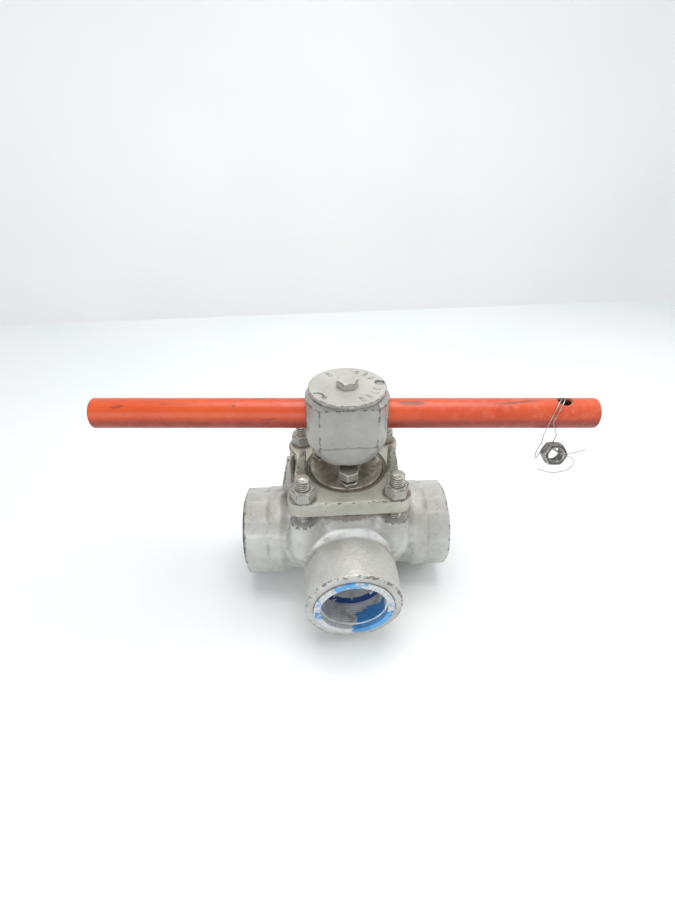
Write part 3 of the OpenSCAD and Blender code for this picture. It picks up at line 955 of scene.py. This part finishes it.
def aluminium_paint(name, base, shade, stain, stained, chips=0.5, grain=1.0, bright=None, ported=False):
    """Silver paint over a rough casting: mottled, stained in its hollows, darkened as painted shade
    where its grime mark carries shade, chipped at edges.
    stained, from 0 to 1, is how much of it is stained; chips how far its edges are worn."""
    s = Shader(name)
    broad = s.noise(22.0, 4.0, 0.6)
    middle = s.noise(95.0, 4.0, 0.6, 0.4)
    fine = s.noise(620.0, 2.0, 0.5)
    colour = s.mix(s.span(broad, 0.35, 0.68), base, shade)
    colour = s.mix(s.span(middle, 0.42, 0.75, 0.0, 0.5), colour, shade)
    if bright:
        patches = s.span(s.noise(38.0, 4.0, 0.7, 0.5), 0.52, 0.75, 0.0, 0.55)
        colour = s.mix(patches, colour, bright)
    # The grime mark brings dirt in hollows and, on the body and the cover, painted shade; the blots are
    # stains.
    dirt = s.math("MULTIPLY", s.mark("grime"), s.span(middle, 0.25, 0.6, 0.6, 1.6))
    blot = s.span(s.noise(38.0, 5.0, 0.65, 0.6), 0.72 - 0.3 * stained, 0.86 - 0.22 * stained)
    dirt = s.math("MAXIMUM", s.span(dirt, 0.1, 0.8), s.math("MULTIPLY", blot, 0.35 + 0.5 * stained))
    colour = s.mix(s.math("MULTIPLY", dirt, 0.8), colour, stain)
    specks = s.span(s.noise(330.0, 3.0, 0.7), 0.64, 0.72, 0.0, 0.6)
    colour = s.mix(specks, colour, (0.12, 0.1, 0.08))
    worn = s.math("MULTIPLY", s.mark("wear"), s.span(s.noise(210.0, 4.0, 0.7), 0.4, 0.62, 0.35, 1.5))
    worn = s.span(worn, 0.85 - 0.6 * chips, 1.3 - 0.75 * chips)
    colour = s.mix(s.math("MULTIPLY", worn, 0.8), colour, (0.12, 0.105, 0.085))
    rough = s.math("ADD", s.span(middle, 0.3, 0.7, 0.36, 0.54), s.math("MULTIPLY", dirt, 0.2))
    metal = s.span(dirt, 0.0, 0.8, 0.35, 0.1)
    if ported:
        # Inside the ports the paint is pale grey, lighter than outside: partly pale overspray, partly
        # painted light that lifts the bores out of their shade.
        bore = s.mark("bore")
        walls = s.mix(s.span(middle, 0.35, 0.65), (0.62, 0.63, 0.62), (0.85, 0.86, 0.85))
        colour = s.mix(bore, colour, walls)
        # Painted highlight: a pale band along the fillet where the front branch leaves the body.
        fillet_highlight = s.math("MULTIPLY", s.mark("fillet"), s.span(middle, 0.3, 0.6, 0.5, 1.0))
        colour = s.mix(fillet_highlight, colour, (0.86, 0.87, 0.86))
        # Painted shade: the ledge's blue paint darkened to a deep navy.
        ledge = s.span(s.math("MULTIPLY", s.mark("ledge"), s.span(middle, 0.3, 0.45)), 0.2, 0.6)
        colour = s.mix(ledge, colour, (0.012, 0.045, 0.2))
    normal = s.bump(middle, 0.0007 * grain, 0.6)
    normal = s.bump(s.cells(420.0), 0.0003 * grain, 0.5, normal)
    normal = s.bump(fine, 0.0003 * grain, 0.8, normal)
    normal = s.bump(s.math("MULTIPLY", worn, -1.0), 0.0003, 0.6, normal)
    return s.set(colour, rough, metal, normal)


def bore_paint():
    """The walls inside the ports: pale overspray, a blue patch and bare grey metal."""
    s = Shader("port_wall")
    place = s.noise(48.0, 4.0, 0.65, 0.8)
    fine = s.noise(400.0, 3.0, 0.6)
    colour = s.mix(s.span(place, 0.4, 0.62), (0.42, 0.41, 0.39), (0.66, 0.67, 0.66))
    ragged = s.math("ADD", s.mark("blue"), s.span(s.noise(90.0, 4.0, 0.7), 0.3, 0.7, -0.45, 0.25))
    colour = s.mix(s.span(ragged, 0.42, 0.52), colour, (0.07, 0.27, 0.6))
    colour = s.mix(s.span(fine, 0.6, 0.75, 0.0, 0.5), colour, (0.2, 0.17, 0.14))
    normal = s.bump(fine, 0.0003, 0.6)
    return s.set(colour, s.span(place, 0.3, 0.7, 0.24, 0.45), 0.3, normal)


def worn_steel(name, base, dark, rust, rusted, rough=0.34):
    """Bare or plated steel with tarnish in its hollows and bright edges."""
    s = Shader(name)
    cloud = s.noise(160.0, 4.0, 0.6, 0.3)
    fine = s.noise(1500.0, 2.0, 0.6)
    colour = s.mix(s.span(cloud, 0.35, 0.7), base, dark)
    colour = s.mix(s.span(s.mark("wear"), 0.3, 1.0, 0.0, 0.6), colour, (0.75, 0.74, 0.72))
    spots = s.span(s.noise(260.0, 5.0, 0.7, 0.5), 0.7 - 0.28 * rusted, 0.8 - 0.22 * rusted)
    dirt = s.math("MAXIMUM", s.span(s.mark("grime"), 0.15, 0.8), spots)
    colour = s.mix(s.math("MULTIPLY", dirt, 0.8), colour, rust)
    normal = s.bump(cloud, 0.00025, 0.6)
    normal = s.bump(fine, 0.00012, 0.6, normal)
    rough = s.span(cloud, 0.3, 0.7, rough - 0.08, rough + 0.12)
    rough = s.math("ADD", rough, s.math("MULTIPLY", dirt, 0.25))
    return s.set(colour, rough, s.span(dirt, 0.0, 1.0, 0.92, 0.25), normal)


def handle_paint():
    """Old orange enamel: redder to the right, scuffed, speckled and chipped at its ends, and darkened
    along its underside as painted shade.
    """
    s = Shader("orange_enamel")
    along = s.axis(0)
    broad = s.noise(14.0, 4.0, 0.6)
    middle = s.noise(120.0, 4.0, 0.65, 0.3)
    orange, red = (0.62, 0.068, 0.008), (0.58, 0.06, 0.022)
    colour = s.mix(s.span(along, -0.12, 0.16), orange, red)
    colour = s.mix(s.span(broad, 0.4, 0.7, 0.0, 0.45), colour, (0.74, 0.13, 0.022))
    faded = s.math("MULTIPLY", s.span(along, 0.02, 0.12), s.span(middle, 0.45, 0.7, 0.0, 0.35))
    colour = s.mix(faded, colour, (0.7, 0.22, 0.15))
    streak = s.noise(60.0, 3.0, 0.6, 0.6, s.stretched(0.35, 2.2, 2.2, 3.0))
    scuff = s.span(streak, 0.63, 0.69, 0.0, 0.75)
    colour = s.mix(scuff, colour, (0.2, 0.05, 0.035))
    scratch = s.noise(190.0, 2.0, 0.5, 1.4, s.stretched(0.6, 1.6, 1.6, 9.0))
    scratch = s.span(s.math("ABSOLUTE", s.math("SUBTRACT", scratch, 0.5)), 0.006, 0.0, 0.0, 0.6)
    scratch = s.math("MULTIPLY", scratch, s.span(s.noise(30.0, 2.0), 0.55, 0.66))
    colour = s.mix(scratch, colour, (0.12, 0.035, 0.03))
    specks = s.span(s.noise(420.0, 3.0, 0.7), 0.65, 0.7, 0.0, 0.7)
    colour = s.mix(specks, colour, (0.13, 0.03, 0.02))
    chip = s.math("MULTIPLY", s.mark("wear"), s.span(s.noise(150.0, 4.0, 0.7), 0.4, 0.6, 0.3, 1.4))
    chip = s.span(chip, 0.75, 0.95)
    colour = s.mix(chip, colour, (0.17, 0.1, 0.07))
    inner = s.span(s.mark("bore"), 0.4, 0.6)
    colour = s.mix(inner, colour, (0.12, 0.05, 0.03))
    # Painted shade: the pipe's underside darkened to a deep red-brown.
    shaded = s.math("MULTIPLY", s.mark("under"), s.span(middle, 0.3, 0.6, 0.7, 1.0))
    colour = s.mix(shaded, colour, (0.25, 0.022, 0.012))
    rough = s.math("ADD", s.span(middle, 0.3, 0.7, 0.3, 0.46), s.math("MULTIPLY", inner, 0.35))
    normal = s.bump(broad, 0.0012, 0.35)
    normal = s.bump(middle, 0.00035, 0.5, normal)
    normal = s.bump(s.math("MULTIPLY", s.math("MAXIMUM", chip, scuff), -1.0), 0.0002, 0.6, normal)
    return s.set(colour, rough, 0.0, normal, Coat_Weight=0.12, Coat_Roughness=0.3)


def protector_paint(name, base, deep, overspray, patched=False):
    """Blue plastic, partly hidden by silver overspray and scratches."""
    s = Shader(name)
    patch = s.noise(85.0, 4.0, 0.7, 0.5)
    fine = s.noise(500.0, 3.0, 0.6)
    colour = s.mix(s.span(s.noise(90.0), 0.4, 0.65), base, deep)
    blue = s.mark("blue") if patched else 0.6
    bare = s.math("SUBTRACT", blue, s.span(patch, 0.35, 0.65, -0.35, 0.45))
    silver = s.span(bare, 0.5, 0.38, 0.0, overspray)
    sprayed = s.mix(s.span(fine, 0.4, 0.65), (0.68, 0.69, 0.69), (0.5, 0.5, 0.49))
    colour = s.mix(silver, colour, sprayed)
    colour = s.mix(s.span(fine, 0.66, 0.74, 0.0, 0.6), colour, (0.1, 0.1, 0.12))
    normal = s.bump(patch, 0.0006, 0.6)
    normal = s.bump(fine, 0.0002, 0.5, normal)
    return s.set(colour, s.span(fine, 0.3, 0.7, 0.36, 0.5), 0.0, normal)


def turned_metal(name, base, dark, grime, dirty, pitch=900.0):
    """A lathe-turned face with fine rings, partly under grime."""
    s = Shader(name)
    x, y = s.axis(0), s.axis(1)
    radius = s.math("SQRT", s.math("ADD", s.math("MULTIPLY", x, x), s.math("MULTIPLY", y, y)))
    rings = s.math("SINE", s.math("MULTIPLY", radius, pitch * 6.283))
    cloud = s.noise(70.0, 5.0, 0.65, 0.5)
    colour = s.mix(s.span(cloud, 0.35, 0.7), base, dark)
    dirt = s.span(s.noise(40.0, 5.0, 0.7, 0.6), 0.62 - 0.35 * dirty, 0.78 - 0.3 * dirty)
    colour = s.mix(s.math("MULTIPLY", dirt, 0.85), colour, grime)
    normal = s.bump(rings, 0.00006, 0.4)
    normal = s.bump(s.noise(380.0, 4.0, 0.7), 0.0005, 0.6, normal)
    rough = s.math("ADD", 0.36, s.math("MULTIPLY", dirt, 0.3))
    return s.set(colour, rough, s.span(dirt, 0.0, 1.0, 0.8, 0.1), normal)


def moulded(name, base, shade, rough, scale=180.0):
    """A plain seal or packing: matt, faintly mottled."""
    s = Shader(name)
    cloud = s.noise(scale, 4.0, 0.6)
    fine = s.noise(scale * 6.0, 3.0, 0.6)
    colour = s.mix(s.span(cloud, 0.35, 0.7), base, shade)
    colour = s.mix(s.span(fine, 0.62, 0.74, 0.0, 0.5), colour, shade)
    normal = s.bump(fine, 0.0002, 0.5)
    return s.set(colour, s.span(cloud, 0.3, 0.7, rough - 0.06, rough + 0.08), 0.0, normal)


def make_shaders():
    silver, dull, pale = (0.59, 0.595, 0.565), (0.46, 0.455, 0.425), (0.72, 0.73, 0.71)
    brown = (0.17, 0.14, 0.1)
    return {
        "body": aluminium_paint("cast_silver", silver, dull, brown, 0.4, 0.4, 1.0, pale, True),
        "bore": bore_paint(),
        "cover": aluminium_paint(
            "cover_silver", (0.52, 0.515, 0.45), (0.4, 0.39, 0.33), (0.15, 0.125, 0.09), 0.5, 0.3
        ),
        "head": aluminium_paint(
            "head_silver", (0.44, 0.435, 0.41), (0.36, 0.355, 0.335), (0.2, 0.18, 0.15), 0.2, 0.95, 0.7
        ),
        "disc": aluminium_paint(
            "disc_silver", (0.52, 0.515, 0.48), (0.43, 0.425, 0.395), (0.12, 0.105, 0.085), 0.2, 0.4, 0.6
        ),
        "nut": aluminium_paint(
            "nut_silver", (0.46, 0.455, 0.42), (0.34, 0.33, 0.3), (0.15, 0.125, 0.1), 0.45, 0.5, 0.5
        ),
        "bolt": aluminium_paint(
            "bolt_silver", (0.56, 0.55, 0.5), (0.42, 0.41, 0.37), (0.17, 0.15, 0.12), 0.2, 0.6, 0.4
        ),
        "stud": worn_steel(
            "stud_metal", (0.62, 0.61, 0.56), (0.42, 0.4, 0.35), (0.09, 0.075, 0.05), 0.3, 0.42
        ),
        "screw": worn_steel(
            "screw_metal", (0.5, 0.48, 0.43), (0.3, 0.28, 0.24), (0.13, 0.1, 0.075), 0.5, 0.4
        ),
        "plug": worn_steel(
            "plug_metal", (0.6, 0.6, 0.6), (0.45, 0.45, 0.45), (0.2, 0.17, 0.13), 0.1, 0.26
        ),
        "collar": worn_steel(
            "collar_metal", (0.45, 0.45, 0.44), (0.3, 0.3, 0.29), (0.16, 0.12, 0.08), 0.3, 0.4
        ),
        "set": worn_steel(
            "set_screw_metal", (0.2, 0.2, 0.2), (0.1, 0.1, 0.1), (0.1, 0.07, 0.05), 0.3, 0.4
        ),
        "gland": turned_metal(
            "gland_metal", (0.62, 0.58, 0.49), (0.48, 0.44, 0.36), (0.13, 0.105, 0.07), 0.5
        ),
        "handle": handle_paint(),
        "hanging": worn_steel(
            "hanging_metal", (0.24, 0.22, 0.21), (0.1, 0.085, 0.075), (0.09, 0.05, 0.03), 0.6, 0.3
        ),
        "wire": worn_steel(
            "wire_metal", (0.5, 0.5, 0.5), (0.34, 0.34, 0.34), (0.2, 0.18, 0.16), 0.2, 0.3
        ),
        "blue": protector_paint("blue_plastic", (0.12, 0.4, 0.76), (0.07, 0.28, 0.62), 1.0, True),
        # Painted shade: the left ring's blue plastic, painted dark navy as a shaded copy of the front
        # ring's blue.
        "blue_in_shade": protector_paint("shaded_blue_plastic", (0.03, 0.05, 0.16), (0.02, 0.03, 0.09), 0.35),
        "ptfe": moulded("white_seal", (0.8, 0.8, 0.77), (0.66, 0.66, 0.62), 0.42),
        "packing": moulded("graphite", (0.06, 0.06, 0.06), (0.03, 0.03, 0.03), 0.55),
        "gasket": moulded("grey_gasket", (0.11, 0.1, 0.09), (0.06, 0.055, 0.05), 0.7),
    }


# The CAD nodes that stay in view, with the material that each takes
KEPT_NODES = {
    "plug_sleeve": "ptfe",
    "top_diaphragm": "ptfe",
    "thrust_collar": "collar",
    "stem_packing": "packing",
    "cover_gasket": "gasket",
    "adjuster_disc": "gland",
    "tapered_plug": "plug",
    "plug_stem": "plug",
    "head_set_screw": "set",
}


def dress_kept_nodes(shaders):
    for node, shader in KEPT_NODES.items():
        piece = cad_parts[node]
        piece.data.materials.clear()
        piece.data.materials.append(shaders[shader])


def make_stage():
    s = Shader("pale_table")
    cloud = s.noise(3.0, 3.0, 0.5)
    colour = s.mix(s.span(cloud, 0.3, 0.7), (0.85, 0.885, 0.895), (0.89, 0.915, 0.92))
    normal = s.bump(s.noise(260.0, 3.0, 0.6), 0.0002, 0.3)
    table_paint = s.set(colour, 0.5, 0.0, normal)
    s = Shader("pale_wall")
    colour = s.mix(s.span(s.noise(2.0), 0.3, 0.7), (0.95, 0.97, 0.965), (0.99, 1.0, 1.0))
    wall_paint = s.set(colour, 0.8, Emission_Color=(1.0, 1.0, 1.0, 1.0), Emission_Strength=0.2)
    edge_left, edge_right = 742.0, 786.0
    corners = [(-2200, -1500, 0), (2200, -1500, 0), (2200, 950, 0), (-2200, 520, 0)]
    slope = (edge_right - edge_left) / 1100.0
    middle = 0.5 * (edge_left + edge_right)
    corners[2] = (2200, middle + 2200 * slope, 0)
    corners[3] = (-2200, middle - 2200 * slope, 0)
    drop = [(x, y, -60) for x, y, _ in corners]
    faces = [(0, 1, 2, 3), (7, 6, 5, 4), (3, 2, 6, 7), (0, 4, 5, 1), (1, 5, 6, 2), (0, 3, 7, 4)]
    table = object_of("table", np.array(corners + drop, float), faces, smooth=False)
    table.data.materials.append(table_paint)
    wall_y = 1500.0
    points = np.array(
        [(-4000, wall_y, -1500), (4000, wall_y, -1500), (4000, wall_y, 2500), (-4000, wall_y, 2500)],
        float,
    )
    wall = object_of("wall", points, [(0, 1, 2, 3)], smooth=False)
    wall.data.materials.append(wall_paint)


make_camera()
make_light()
SHADERS = make_shaders()
make_hanging_tag(SHADERS)
make_body(SHADERS)
make_cover(SHADERS)
make_screws(SHADERS)
make_head(SHADERS)
make_handle(SHADERS)
make_protectors(SHADERS)
dress_kept_nodes(SHADERS)
make_stage()
